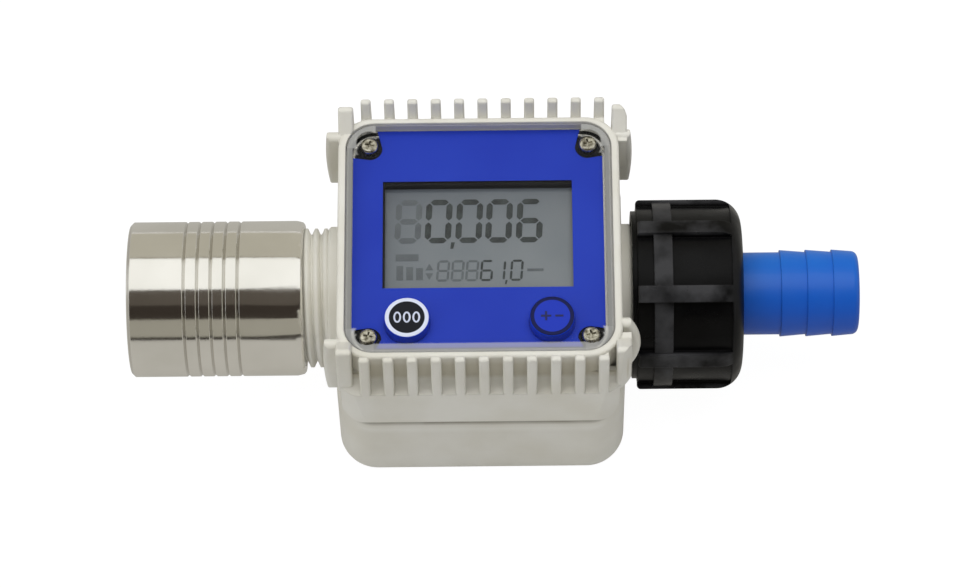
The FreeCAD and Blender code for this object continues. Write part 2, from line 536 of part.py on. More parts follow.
def reed_switch():
    """Glass reed switch under the board, above the rotor's magnets."""
    tube = Part.makeCylinder(REED_R, REED_LEN, V(-REED_LEN / 2, 0, BOARD_BOTTOM_Z - REED_R), V(1, 0, 0))
    return tube.cut(slab(-REED_LEN, REED_LEN, -1, 1, BOARD_BOTTOM_Z - REED_FLAT, BOARD_BOTTOM_Z + 1))


def button(side):
    """Cap, retaining flange and stem of one push button."""
    x = side * BUTTON_X
    flange_top = PANEL_BOTTOM_Z - BUTTON_LIFT
    stem_end = BOARD_TOP_Z + SWITCH_FLOOR + BUTTON_TRAVEL + BUTTON_SPARE
    top = COVER_TOP_Z + BUTTON_PROUD
    cap = post(BUTTON_R, flange_top - BUTTON_FLANGE_H, top, x, BUTTON_Y)
    cap = cap.makeFillet(BUTTON_EDGE_R, level_edges(cap, top))
    flange = post(BUTTON_FLANGE_R, flange_top - BUTTON_FLANGE_H, flange_top, x, BUTTON_Y)
    stem = post(BUTTON_STEM_R, stem_end, flange_top, x, BUTTON_Y)
    return fuse([cap, flange, stem])


def cover_screws():
    """Four long screws from the cover through the head into the base's bosses."""
    screws = []
    seat = COVER_TOP_Z - COUNTERBORE_H
    for x, y in corners(SCREW_X, SCREW_Y):
        head = post(SCREW_HEAD_R, seat, seat + SCREW_HEAD_H, x, y)
        head = head.makeFillet(SCREW_HEAD_EDGE_R, level_edges(head, seat + SCREW_HEAD_H))
        shank = post(SCREW_R, BASE_TOP, seat, x, y)
        tip = post(PILOT_R - SCREW_GRIP, BASE_TOP - SCREW_ENTRY, BASE_TOP, x, y)
        screw = fuse([head, shank, tip])
        for angle in (0, 90):
            slot = slab(-CROSS_HALF, CROSS_HALF, -CROSS_WIDTH / 2, CROSS_WIDTH / 2,
                        seat + SCREW_HEAD_H - CROSS_DEPTH, seat + SCREW_HEAD_H + 1)
            slot.rotate(V(0, 0, 0), V(0, 0, 1), angle + math.copysign(CROSS_TURN, x))
            slot.translate(V(x, y, 0))
            screw = screw.cut(slot)
        screws.append(screw)
    return screws


def batteries():
    """Two cells in the troughs beside the tube, facing opposite ways."""
    cells = []
    for side in (-1, 1):
        at = V(-CELL_LEN / 2, side * CELL_Y, CELL_Z)
        can = Part.makeCylinder(CELL_R, CELL_LEN - CELL_CAP_LEN, at, V(1, 0, 0))
        cap = Part.makeCylinder(CELL_CAP_R, CELL_LEN, at, V(1, 0, 0))
        cell = fuse([can, cap])
        cells.append(cell if side > 0 else mirror_x(cell))
    return cells


def battery_contacts():
    """Contact plate with a sprung bump at each end of each trough."""
    plates = []
    for sx in (-1, 1):
        for sy in (-1, 1):
            plate = slab(CELL_LEN / 2 + CONTACT_BUMP, TROUGH_HX, sy * CELL_Y - CONTACT_HALF,
                         sy * CELL_Y + CONTACT_HALF, CELL_Z - CONTACT_HALF, CELL_Z + CONTACT_HALF)
            bump = Part.makeCylinder(CONTACT_BUMP_R, CONTACT_BUMP + CONTACT_THICK / 2,
                                     V(CELL_LEN / 2, sy * CELL_Y, CELL_Z), V(1, 0, 0))
            whole = fuse([plate, bump])
            plates.append(whole if sx > 0 else mirror_x(whole))
    return plates


# ---- turbine ---------------------------------------------------------------

def blade():
    """One helical blade, lofted through sections turned about the axis."""
    sections = []
    steps = 4
    for i in range(steps + 1):
        x = -ROTOR_HALF + 2 * ROTOR_HALF * i / steps
        half = BLADE_THICK / 2
        loop = [V(x, -half, AXIS_Z + HUB_R - BLADE_ROOT), V(x, half, AXIS_Z + HUB_R - BLADE_ROOT),
                V(x, half, AXIS_Z + ROTOR_R + 1), V(x, -half, AXIS_Z + ROTOR_R + 1)]
        wire = Part.makePolygon(loop + loop[:1])
        wire.rotate(V(0, 0, AXIS_Z), V(1, 0, 0), BLADE_TWIST * i / steps)
        sections.append(wire)
    return Part.makeLoft(sections, True)


def turbine_rotor():
    """Hub with helical blades, bored for the shaft and the magnets."""
    one = blade().common(pipe(ROTOR_R, -ROTOR_HALF, ROTOR_HALF))
    blades = [spin_x(one, 360.0 * i / BLADES) for i in range(BLADES)]
    rotor = fuse([pipe(HUB_R, -ROTOR_HALF, ROTOR_HALF)] + blades)
    return rotor.cut([pipe(SHAFT_R + SHAFT_PRESS, -ROTOR_HALF - 1, ROTOR_HALF + 1)] + magnets(MAGNET_FIT))


def magnets(fit=0.0):
    """Two rod magnets in the hub, or their pockets with a fit."""
    rods = []
    for side in (-1, 1):
        at = V(ROTOR_HALF - MAGNET_LEN, side * MAGNET_AT_R, AXIS_Z)
        rods.append(Part.makeCylinder(MAGNET_R + fit, MAGNET_LEN, at, V(1, 0, 0)))
    return rods


def outlet_diffuser():
    """Ring, straight vanes and a bullet hub that holds a bush."""
    ring_r = BORE_R - CARRIER_FIT
    ring = pipe(ring_r, CARRIER_X, SNAP_X).cut(pipe(ring_r - CARRIER_RING_WALL, CARRIER_X, SNAP_X))
    nose_len = CARRIER_HUB_LEN - CARRIER_HUB_PLAIN
    nose_x = BUSH_X + CARRIER_HUB_PLAIN
    steps = 6
    arc = [(nose_x + nose_len * math.sin(math.pi / 2 * i / steps), HUB_R * math.cos(math.pi / 2 * i / steps))
           for i in range(steps)]
    hub = turned([(BUSH_X, 0), (BUSH_X, HUB_R)] + arc + [(nose_x + nose_len, 0)])
    vane = slab(CARRIER_X + VANE_START, SNAP_X - VANE_STOP, -VANE_THICK / 2, VANE_THICK / 2,
                AXIS_Z + VANE_ROOT_R, AXIS_Z + ring_r - CARRIER_RING_WALL / 2)
    vanes = [spin_x(vane, VANE_TURN + 360.0 * i / VANES) for i in range(VANES)]
    whole = fuse([ring, hub] + vanes)
    return whole.cut([pipe(BUSH_R + BUSH_PRESS, BUSH_X - 1, BUSH_X + BUSH_LEN),
                      pipe(SHAFT_R + SHAFT_CLEAR, BUSH_X, SHAFT_HALF + SHAFT_END_GAP)])


def bush():
    """Plain bush at the outlet end."""
    end = BUSH_X + BUSH_LEN
    return pipe(BUSH_R, BUSH_X, end).cut(pipe(SHAFT_R + BUSH_FIT, BUSH_X - 1, end + 1))


def snap_ring():
    """Open spring ring in the outlet groove."""
    out_r = BORE_R + SNAP_DEPTH - SNAP_FIT
    end = SNAP_X + SNAP_THICK
    ring = pipe(out_r, SNAP_X, end).cut(pipe(out_r - SNAP_WALL, SNAP_X - 1, end + 1))
    return ring.cut(slab(SNAP_X - 1, end + 1, -SNAP_GAP / 2, SNAP_GAP / 2, 0, AXIS_Z))


# ---- fittings --------------------------------------------------------------

def steel_coupling():
    """Turned steel socket with five fine grooves and a relief between its threads."""
    out = [(SLEEVE_LEFT, SLEEVE_R - SLEEVE_CHAMFER), (SLEEVE_LEFT + SLEEVE_CHAMFER, SLEEVE_R)]
    for i in range(GROOVES):
        x = GROOVE_MIDDLE + (i - (GROOVES - 1) / 2.0) * GROOVE_PITCH
        out += [(x - GROOVE_HALF, SLEEVE_R), (x, SLEEVE_R - GROOVE_DEPTH), (x + GROOVE_HALF, SLEEVE_R)]
    out += [(SLEEVE_RIGHT - SLEEVE_CHAMFER / 2, SLEEVE_R), (SLEEVE_RIGHT, SLEEVE_R - SLEEVE_CHAMFER / 2)]
    bore = THREAD_BORE_R
    relief = bore + RELIEF_DEPTH
    inside = [(SLEEVE_RIGHT, bore + SLEEVE_MOUTH), (SLEEVE_RIGHT - SLEEVE_MOUTH, bore),
              (RELIEF_FROM + RELIEF_LEN, bore), (RELIEF_FROM + RELIEF_LEN, relief),
              (RELIEF_FROM, relief), (RELIEF_FROM, bore),
              (SLEEVE_LEFT + SLEEVE_MOUTH, bore), (SLEEVE_LEFT, bore + SLEEVE_MOUTH)]
    return turned(out + inside)


def union_washer():
    """Flat rubber washer between the stub and the hose tail."""
    return pipe(WASHER_R, STUB_END, FLANGE_X).cut(pipe(WASHER_BORE_R, STUB_END - 1, FLANGE_X + 1))


def hose_tail():
    """Flanged hose tail with sawtooth barbs and a rounded tip."""
    out = [(FLANGE_X, TAIL_FLANGE_R), (FLANGE_BACK_X, TAIL_FLANGE_R), (FLANGE_BACK_X, TAIL_R)]
    for i in range(BARBS):
        x = BARB_FIRST + i * BARB_PITCH
        out += [(x, TAIL_R), (x, TAIL_R + BARB_RISE)]
    out += [(TAIL_END, TAIL_R)]
    inside = [(TAIL_END, TAIL_BORE_R), (FLANGE_X + TAIL_FLANGE_THICK, TAIL_BORE_R), (FLANGE_X, WASHER_BORE_R)]
    tail = turned(out + inside)
    rim = 2 * math.pi * TAIL_R - 1
    tip = [e for e in tail.Edges if abs(e.CenterOfMass.x - TAIL_END) < 1e-3 and e.Length > rim]
    return tail.makeFillet(TAIL_TIP_R, tip)


def nut_envelope():
    """Outside limit of the ribs, with the soft rear shoulder."""
    outer = pipe(NUT_RIB_R, NUT_SKIRT_TO, NUT_RIGHT)
    rear = [e for e in outer.Edges if abs(e.CenterOfMass.x - NUT_RIGHT) < 1e-6]
    front = [e for e in outer.Edges if abs(e.CenterOfMass.x - NUT_SKIRT_TO) < 1e-6]
    return outer.makeFillet(NUT_BACK_R, rear).makeFillet(NUT_FRONT_R, front)


def union_nut():
    """Ribbed union nut, open at the front, with a shoulder behind the flange."""
    core = pipe(NUT_CORE_R, NUT_SKIRT_TO, NUT_RIGHT)
    ring = pipe(NUT_RING_R, NUT_RING_FROM, NUT_RING_TO)
    back = pipe(NUT_RIB_R, NUT_RIGHT - NUT_BAND_W, NUT_RIGHT)
    rib = slab(NUT_SKIRT_TO, NUT_RIGHT, -NUT_RIB_W / 2, NUT_RIB_W / 2,
               AXIS_Z + NUT_CORE_R - NUT_RIB_ROOT, AXIS_Z + NUT_RIB_R + 1)
    ribs = [spin_x(rib, NUT_TURN + 360.0 * i / NUT_RIBS) for i in range(NUT_RIBS)]
    shape = fuse([core, ring, back] + ribs).common(nut_envelope())
    shape = fuse([shape, pipe(NUT_SKIRT_R, NUT_LEFT, NUT_SKIRT_TO + 1)])
    return shape.cut([pipe(NUT_HOLLOW_R, NUT_LEFT - 1, NUT_LEFT + NUT_HOLLOW_LEN),
                      pipe(THREAD_BORE_R, NUT_LEFT, NUT_SEAT_X),
                      pipe(NUT_REAR_BORE_R, NUT_LEFT, NUT_RIGHT + 1)])


def main():
    os.makedirs("parts", exist_ok=True)
    write("meter_body", meter_body())
    write("housing_gasket", housing_gasket())
    write("display_housing", display_housing())
    write("cover_gasket", cord_ring())
    write("clear_cover", clear_cover())
    write("face_panel", face_panel())
    write("display_carrier", display_carrier())
    write("lcd_module", lcd_module())
    write("contact_strips", contact_strips())
    write("circuit_board", circuit_board())
    write("board_screws", board_screws())
    write("tact_switches", tact_switches())
    write("reed_switch", reed_switch())
    write("reset_button", button(-1))
    write("cal_button", button(1))
    write("cover_screws", cover_screws())
    write("batteries", batteries())
    write("battery_contacts", battery_contacts())
    write("turbine_rotor", turbine_rotor())
    write("rotor_magnets", magnets())
    write("rotor_shaft", pipe(SHAFT_R, -SHAFT_HALF, SHAFT_HALF))
    write("outlet_diffuser", outlet_diffuser())
    write("inlet_diffuser", mirror_x(outlet_diffuser()))
    write("bearing_bushes", [bush(), mirror_x(bush())])
    write("retaining_rings", [snap_ring(), mirror_x(snap_ring())])
    write("steel_coupling", steel_coupling())
    write("union_washer", union_washer())
    write("hose_tail", hose_tail())
    write("union_nut", union_nut())


main()
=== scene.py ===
import math

import bmesh
import bpy
from mathutils import Matrix, Vector

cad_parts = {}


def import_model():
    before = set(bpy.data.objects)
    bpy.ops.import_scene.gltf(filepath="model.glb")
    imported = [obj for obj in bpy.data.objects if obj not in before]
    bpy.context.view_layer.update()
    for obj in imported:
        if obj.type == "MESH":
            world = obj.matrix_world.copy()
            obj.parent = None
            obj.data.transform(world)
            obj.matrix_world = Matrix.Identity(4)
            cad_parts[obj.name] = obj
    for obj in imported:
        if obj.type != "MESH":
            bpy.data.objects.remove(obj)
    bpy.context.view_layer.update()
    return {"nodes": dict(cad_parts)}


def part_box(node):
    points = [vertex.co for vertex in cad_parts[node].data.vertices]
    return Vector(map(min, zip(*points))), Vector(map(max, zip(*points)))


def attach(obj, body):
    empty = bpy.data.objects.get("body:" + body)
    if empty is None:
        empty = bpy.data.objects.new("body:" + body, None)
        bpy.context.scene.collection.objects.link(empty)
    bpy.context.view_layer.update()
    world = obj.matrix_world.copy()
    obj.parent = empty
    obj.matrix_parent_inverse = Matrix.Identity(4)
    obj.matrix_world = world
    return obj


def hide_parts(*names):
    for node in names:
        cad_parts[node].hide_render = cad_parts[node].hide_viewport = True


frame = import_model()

MM = 0.001
NODES = frame["nodes"]


# ---------------------------------------------------------------- measures, all in millimetres

AXIS_Z = 28.0                               # height of the pipe axis
SCREW_HEAD_R = 2.1
BUTTONS = ("reset_button", "cal_button")


def node_box(name):
    """Lowest and highest corner of a node."""
    low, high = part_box(name)
    return Vector(low) / MM, Vector(high) / MM


def button_centre(name):
    low, high = node_box(name)
    return (low.x + high.x) / 2, (low.y + high.y) / 2


COVER_LOW, COVER_HIGH = node_box("clear_cover")
SCREWS_HIGH = node_box("cover_screws")[1]
SCREW_X, SCREW_Y = SCREWS_HIGH.x - SCREW_HEAD_R, SCREWS_HIGH.y - SCREW_HEAD_R


# ---------------------------------------------------------------- node trees

class Wire:
    """A node socket that takes part in Python arithmetic, in a shader or a geometry tree."""

    def __init__(self, tree, socket):
        self.tree, self.socket = tree, socket

    def math(self, operation, other=None):
        node = self.tree.nodes.new("ShaderNodeMath")
        node.operation = operation
        for slot, value in zip(node.inputs, (self, other)):
            if value is not None:
                feed(self.tree, slot, value)
        return Wire(self.tree, node.outputs[0])

    def __add__(self, other): return self.math("ADD", other)
    def __radd__(self, other): return self.math("ADD", other)
    def __sub__(self, other): return self.math("SUBTRACT", other)
    def __rsub__(self, other): return (self * -1.0) + other
    def __mul__(self, other): return self.math("MULTIPLY", other)
    def __rmul__(self, other): return self.math("MULTIPLY", other)
    def __truediv__(self, other): return self.math("DIVIDE", other)
    def power(self, other): return self.math("POWER", other)
    def above(self, edge): return self.math("GREATER_THAN", edge)
    def below(self, edge): return self.math("LESS_THAN", edge)
    def least(self, other): return self.math("MINIMUM", other)
    def most(self, other): return self.math("MAXIMUM", other)
    def size(self): return self.math("ABSOLUTE")
    def root(self): return self.math("SQRT")
    def clamp(self): return self.least(1.0).most(0.0)


def feed(tree, socket, value):
    """Puts a number, a colour or another socket into a socket."""
    if isinstance(value, Wire):
        tree.links.new(value.socket, socket)
    elif isinstance(value, (tuple, list)) and len(value) == 3 and len(socket.default_value) == 4:
        socket.default_value = (*value, 1.0)
    else:
        socket.default_value = value


class Tree:
    """A node tree with one method that makes any node."""

    def __init__(self, tree):
        self.tree = tree

    def node(self, kind, settings=None, out=0, **values):
        """New node; a value's key is the input's name, or i and its number."""
        node = self.tree.nodes.new(kind)
        for name, value in (settings or {}).items():
            setattr(node, name, value)
        for name, value in values.items():
            key = int(name[1:]) if name[0] == "i" and name[1:].isdigit() else name.replace("_", " ")
            feed(self.tree, node.inputs[key], value)
        return Wire(self.tree, node.outputs[out])

    def blend(self, factor, a, b):
        return self.node("ShaderNodeMix", {"data_type": "RGBA", "blend_type": "MIX", "clamp_factor": True},
                         out=2, i0=factor, i6=a, i7=b)

    def place(self):
        """Object coordinates."""
        return self.node("ShaderNodeTexCoord", out=3)

    def noise(self, scale, detail=3.0, rough=0.5, stretch=(1.0, 1.0, 1.0)):
        place = self.node("ShaderNodeMapping", Vector=self.place(), Scale=stretch)
        return self.node("ShaderNodeTexNoise", Vector=place, Scale=scale, Detail=detail, Roughness=rough)

    def at(self, axis):
        """Place along an axis, in millimetres."""
        return self.node("ShaderNodeSeparateXYZ", out=axis, Vector=self.place()) / MM


def lin(r, g, b):
    """Linear colour from screen values of 0 to 255."""
    return tuple(((c / 255.0 + 0.055) / 1.055) ** 2.4 if c > 10 else c / 255.0 / 12.92 for c in (r, g, b))


def material(name, colour, rough, bump=None, edge=0.0, **more):
    """Principled material; any value may be a function of the tree, and edge is a rounding in millimetres."""
    mat = bpy.data.materials.new(name)
    mat.use_nodes = True
    tree = Tree(mat.node_tree)
    shader = mat.node_tree.nodes["Principled BSDF"]
    for key, value in {"Base Color": colour, "Roughness": rough, **more}.items():
        feed(tree.tree, shader.inputs[key.replace("_", " ")], value(tree) if callable(value) else value)
    normal = tree.node("ShaderNodeBevel", {"samples": 4}, Radius=edge * MM) if edge else None
    if bump:
        height, depth = bump(tree)
        relief = {"Height": height, "Distance": depth * MM, "Strength": 1.0}
        if normal:
            relief["Normal"] = normal
        normal = tree.node("ShaderNodeBump", **relief)
    if normal:
        feed(tree.tree, shader.inputs["Normal"], normal)
    return mat


def mottled(base, other, scale, detail=3.0, low=0.35, high=0.65):
    """Colour that drifts between two tones."""
    def colour(tree):
        amount = (tree.noise(scale, detail) - low) / (high - low)
        return tree.blend(amount.clamp(), base, other)
    return colour


def uneven(base, spread, scale):
    """Roughness that drifts round a value."""
    return lambda tree: (tree.noise(scale, 4.0) - 0.5) * spread + base


def grained(scale, depth):
    """Fine moulded or cast grain."""
    return lambda tree: (tree.noise(scale, 4.0, 0.6), depth)


def band_at(tree, middle, half):
    """One at a height, falling to nought half above and below it."""
    return (1.0 - (tree.at(2) - middle).size() / half).clamp()


def from_axis(tree):
    """Distance from the pipe axis."""
    across, up = tree.at(1), tree.at(2) - AXIS_Z
    return (across * across + up * up).root()


# ---------------------------------------------------------------- cream housing

SEAM_Z, SEAM_HALF, SEAM_FROM_Y = 32.4, 1.1, 18.0    # painted shade along the joint of head and base, clear of the tube
HEAD_SIDE_Y = 32.0                                  # wall that the fins stand on
FIN_MID_Z, FIN_HALF = 51.5, 6.0                     # height of the wall behind the fins
WALL_NEAR, WALL_SHARP = 0.5, 1.8                    # how close to that wall its painted shade lies, and its contrast
BASE_FRONT_Y = 32.8                                 # from here out lie the base's long sides
SHELTER_LOW, SHELTER_FADE = 27.5, 1.5               # painted shade under the overhang reaches down to here
# painted highlight along the base's front, just below the overhang
HIGHLIGHT_Z, HIGHLIGHT_HALF = 25.6, 2.0
JOINT_SHARE, SHELTER_SHARE, HIGHLIGHT_SHARE, SHADED_SHARE = 0.8, 0.85, 0.4, 0.55      # how strong each painted shade and the painted highlight are
CREAM_PLAIN = mottled(lin(222, 220, 211), lin(214, 211, 199), 60.0, 5.0)
# painted highlight, painted shade behind the fins, and painted shade at the joint and under the overhang
CREAM_PAINTED_HIGHLIGHT, CREAM_SHADED, CREAM_PAINTED_SHADE = lin(236, 235, 228), lin(186, 178, 154), lin(118, 112, 96)


def cream_tone(tree):
    """Moulded cream; painted shade behind the fins, at the joint and under the overhang; painted highlight
    below it.
    """
    side = tree.at(1).size()
    front = (side - BASE_FRONT_Y).clamp()
    # painted highlight on the base's front
    painted_highlight = band_at(tree, HIGHLIGHT_Z, HIGHLIGHT_HALF) * front * HIGHLIGHT_SHARE
    tone = tree.blend(painted_highlight, CREAM_PLAIN(tree), CREAM_PAINTED_HIGHLIGHT)
    by_wall = (1.0 - (side - HEAD_SIDE_Y).size() / WALL_NEAR).clamp()
    # painted shade on the wall behind the fins
    shade_behind_fins = (by_wall * band_at(tree, FIN_MID_Z, FIN_HALF) * WALL_SHARP).clamp()
    tone = tree.blend(shade_behind_fins * SHADED_SHARE, tone, CREAM_SHADED)
    # painted shade along the joint
    joint = band_at(tree, SEAM_Z, SEAM_HALF) * side.above(SEAM_FROM_Y) * JOINT_SHARE
    under_head = (SEAM_Z - tree.at(2)).clamp()
    # painted shade under the head's overhang, made patchy below
    shade_under_head = ((tree.at(2) - SHELTER_LOW) / SHELTER_FADE).clamp() * under_head * front * SHELTER_SHARE
    patchy = tree.noise(120.0, 4.0) * 0.6 + 0.5
    return tree.blend((joint.most(shade_under_head) * patchy).clamp(), tone, CREAM_PAINTED_SHADE)


CREAM = material("cream_moulding", cream_tone, uneven(0.46, 0.16, 220.0), grained(900.0, 0.02), edge=0.5)


# ---------------------------------------------------------------- display glass and film

LCD_LOW, LCD_HIGH = node_box("lcd_module")
LCD_PLAIN = mottled(lin(112, 118, 121), lin(104, 111, 115), 70.0, 2.0)
# painted shade from the window's walls
LCD_SHADED = lin(74, 80, 88)
FAR_POWER, FAR_SHARE, LEFT_POWER, LEFT_SHARE = 3.0, 0.75, 4.0, 0.35


def lcd_tone(tree):
    """Grey display glass, with painted shade from the window's walls towards its far edge and its left side.
    """
    up = ((tree.at(1) - LCD_LOW.y) / (LCD_HIGH.y - LCD_LOW.y)).clamp()
    left = (1.0 - (tree.at(0) - LCD_LOW.x) / (LCD_HIGH.x - LCD_LOW.x)).clamp()
    shade = (up.power(FAR_POWER) * FAR_SHARE + left.power(LEFT_POWER) * LEFT_SHARE).clamp()
    return tree.blend(shade, LCD_PLAIN(tree), LCD_SHADED)


LCD_GLASS = material("lcd_glass", lcd_tone, 0.28, Coat_Weight=0.2)
LCD_DARK = material("lcd_segment", mottled(lin(28, 33, 34), lin(46, 52, 52), 420.0, 2.0), 0.4)
LCD_GHOST = material("lcd_ghost", mottled(lin(74, 79, 83), lin(82, 88, 91), 300.0, 2.0), 0.4)
LABEL = material("label_film", mottled(lin(16, 48, 168), lin(22, 54, 174), 45.0, 2.0), 0.5,
                 grained(1500.0, 0.004), Specular_IOR_Level=0.2)


# ---------------------------------------------------------------- clear cover

CLEAR_SIDE, CLEAR_NEAR, CLEAR_FAR = 1.7, 2.5, 0.6   # border of the cover that shows beside the label
CORNER_REACH = 1.7                                  # the corner tone starts this far inside a screw's centre
COUNTERBORE_R = 2.9
EDGE_SHARP = 3.0                                    # steps of tone take a third of a millimetre
RIM_ALPHA, CORNER_ALPHA, PANE_ALPHA = 0.40, 0.46, 0.008


def clear_alpha(tree):
    """Clear plate that shows its rim, and the corners round the screws."""
    half, mid = (COVER_HIGH - COVER_LOW) / 2, (COVER_HIGH + COVER_LOW) / 2
    right, up = tree.at(0) - mid.x, tree.at(1) - mid.y
    side = (right.size() - (half.x - CLEAR_SIDE)) * EDGE_SHARP
    near = (up * -1.0 - (half.y - CLEAR_NEAR)) * EDGE_SHARP
    far = (up - (half.y - CLEAR_FAR)) * EDGE_SHARP
    rim = side.most(near).most(far).clamp()
    from_x, from_y = right.size() - SCREW_X, up.size() - SCREW_Y
    away = (((from_x * from_x + from_y * from_y).root() - COUNTERBORE_R) * EDGE_SHARP).clamp()
    corner = ((from_x.least(from_y) + CORNER_REACH) * EDGE_SHARP).clamp() * away
    return (rim * RIM_ALPHA).most(corner * CORNER_ALPHA) + PANE_ALPHA


CLEAR = material("clear_cover", lin(206, 206, 202), 0.12, Specular_IOR_Level=0.28, Alpha=clear_alpha)


# ---------------------------------------------------------------- buttons

FACE_R = 5.2                                        # round face of a button
RING_FROM = 0.79                                    # its ring starts here, as a share of that radius
RING_SHARP = 60.0
FACE_DEEP = 0.12                                    # below this depth the button's plain side starts
# button sides are painted a lighter blue than the label: painted light that cancels their shade so they blend
# with it
BUTTON_SIDE_PAINTED_LIGHT = lin(26, 62, 204)
WHITE_RING, DARK_RING = lin(214, 220, 238), lin(10, 18, 70)


def button_face(node, name, disc, ring):
    """Round button with a ring round its face."""
    low, high = node_box(node)
    mid = (low + high) / 2

    def colour(tree):
        side = (high.z - tree.at(2) - FACE_DEEP).above(0.0)
        dx, dy = tree.at(0) - mid.x, tree.at(1) - mid.y
        r = (dx * dx + dy * dy).root() / FACE_R
        face = tree.blend(((r - RING_FROM) * RING_SHARP).clamp(), disc, ring)
        # painted light on the button's side
        return tree.blend(side, face, BUTTON_SIDE_PAINTED_LIGHT)

    return material(name, colour, 0.4, grained(1400.0, 0.01), Specular_IOR_Level=0.2)


BLACK_BUTTON = button_face("reset_button", "reset_face", lin(18, 20, 28), WHITE_RING)
BLUE_BUTTON = button_face("cal_button", "cal_face", lin(22, 50, 176), DARK_RING)
MARK_WHITE = material("mark_white", mottled(lin(206, 212, 230), lin(190, 197, 218), 300.0), 0.5)
MARK_BLUE = material("mark_blue", mottled(lin(8, 16, 70), lin(12, 20, 80), 300.0), 0.5)


# ---------------------------------------------------------------- nut, tail and socket

RIB_FROM_R, RIB_SHARP = 21.4, 1.4                   # the nut's ribs and bands get a painted sheen from here out
SHEEN_FROM, SHEEN_SHARP = 0.36, 3.6                   # and only where the noise is above this
NUT_PAINTED_SHEEN = lin(62, 62, 64)
NUT_PLAIN = mottled(lin(3, 3, 4), lin(9, 9, 10), 85.0, 6.0, 0.4, 0.7)
TAIL_WIDE = 20.0                                    # the tail's painted shade changes over this width
TAIL_FAR, TAIL_NEAR_SHADE = mottled(lin(12, 110, 210), lin(20, 117, 214), 70.0), lin(8, 80, 186)
SOCKET_SKIN_R = 18.46                               # the socket's outside, less a hair
OUTSIDE_FROM_R = 17.9                               # further out than this is the socket's outside
GROOVES_TO_X, GROOVE_SHARP, GROOVE_SHARE = -46.0, 7.0, 0.22
STEEL_PLAIN, STEEL_GROOVE_DARK = mottled(lin(250, 248, 243), lin(242, 240, 234), 60.0), lin(96, 90, 80)


def nut_tone(tree):
    """Black moulding, with a patchy painted sheen on its ribs and bands."""
    patches = ((tree.noise(110.0, 5.0) - SHEEN_FROM) * SHEEN_SHARP).clamp()
    # painted sheen on the ribs and bands
    painted_sheen = ((from_axis(tree) - RIB_FROM_R) * RIB_SHARP).clamp() * patches
    return tree.blend(painted_sheen, NUT_PLAIN(tree), NUT_PAINTED_SHEEN)


def tail_tone(tree):
    """Blue moulding, with painted shade that deepens towards the near side."""
    # painted shade, deeper on the near side
    near = (0.5 - tree.at(1) / TAIL_WIDE).clamp()
    return tree.blend(near, TAIL_FAR(tree), TAIL_NEAR_SHADE)


def steel_tone(tree):
    """Bright steel, darker in the bottoms of the outer grooves."""
    radius = from_axis(tree)
    sunk = ((SOCKET_SKIN_R - radius) * GROOVE_SHARP).clamp() * radius.above(OUTSIDE_FROM_R)
    grooves = sunk * (GROOVES_TO_X - tree.at(0)).clamp()
    return tree.blend(grooves * GROOVE_SHARE, STEEL_PLAIN(tree), STEEL_GROOVE_DARK)


def lathe_marks(tree):
    """Fine marks round the pipe axis."""
    lathe = tree.noise(260.0, 5.0, 0.7, stretch=(12.0, 0.02, 0.02))
    return lathe + tree.noise(900.0, 3.0, 0.6) * 0.6, 0.012


NUT_PLASTIC = material("nut_moulding", nut_tone, uneven(0.34, 0.5, 130.0), grained(420.0, 0.06), edge=0.4,
                       Specular_IOR_Level=0.16)
HOSE_BLUE = material("tail_moulding", tail_tone, uneven(0.36, 0.12, 180.0), grained(800.0, 0.02), edge=0.3,
                     Specular_IOR_Level=0.35)
COUPLING_STEEL = material("coupling_steel", steel_tone, uneven(0.11, 0.05, 90.0), lathe_marks, edge=0.25,
                          Metallic=1.0)


# ---------------------------------------------------------------- plain finishes, one for each slot

FINISH = {
    "cream_plastic": CREAM,
    "clear_plastic": CLEAR,
    "blue_panel": LABEL,
    "lcd_glass": LCD_GLASS,
    "black_button": BLACK_BUTTON,
    "blue_button": BLUE_BUTTON,
    "coupling_steel": COUPLING_STEEL,
    "blue_plastic": HOSE_BLUE,
    "nut_plastic": NUT_PLASTIC,
    "black_rubber": material("black_rubber", mottled(lin(26, 26, 26), lin(38, 37, 35), 160.0), 0.62,
                             grained(1400.0, 0.02)),
    "grey_rubber": material("grey_rubber", mottled(lin(96, 96, 94), lin(112, 111, 108), 160.0), 0.6,
                            grained(1400.0, 0.02)),
    "black_plastic": material("dark_moulding", mottled(lin(8, 8, 10), lin(14, 14, 16), 120.0), 0.5,
                              grained(1200.0, 0.02), Specular_IOR_Level=0.15),
    "board_green": material("board_green", mottled(lin(22, 92, 52), lin(30, 108, 62), 140.0), 0.35,
                            grained(500.0, 0.02)),
    "reed_glass": material("reed_glass", mottled(lin(150, 178, 160), lin(170, 190, 176), 300.0), 0.1,
                           Coat_Weight=0.6),
    "cell_metal": material("cell_metal", mottled(lin(178, 180, 184), lin(160, 162, 168), 90.0), 0.3,
                           Metallic=0.9),
    "white_acetal": material("white_acetal", mottled(lin(228, 228, 224), lin(220, 220, 215), 90.0), 0.35,
                             grained(1000.0, 0.015)),
    "dark_acetal": material("dark_acetal", mottled(lin(50, 50, 54), lin(60, 60, 64), 90.0), 0.35,
                            grained(1000.0, 0.015)),
    "magnet_metal": material("magnet_metal", mottled(lin(150, 152, 156), lin(132, 134, 140), 200.0), 0.32,
                             Metallic=1.0),
    "shaft_steel": material("shaft_steel", mottled(lin(190, 190, 188), lin(172, 172, 170), 200.0), 0.2,
                            Metallic=1.0),
    "screw_steel": material("screw_zinc", mottled(lin(226, 222, 206), lin(118, 112, 96), 900.0, 4.0),
                            uneven(0.26, 0.2, 600.0), grained(1600.0, 0.08), Metallic=1.0),
}


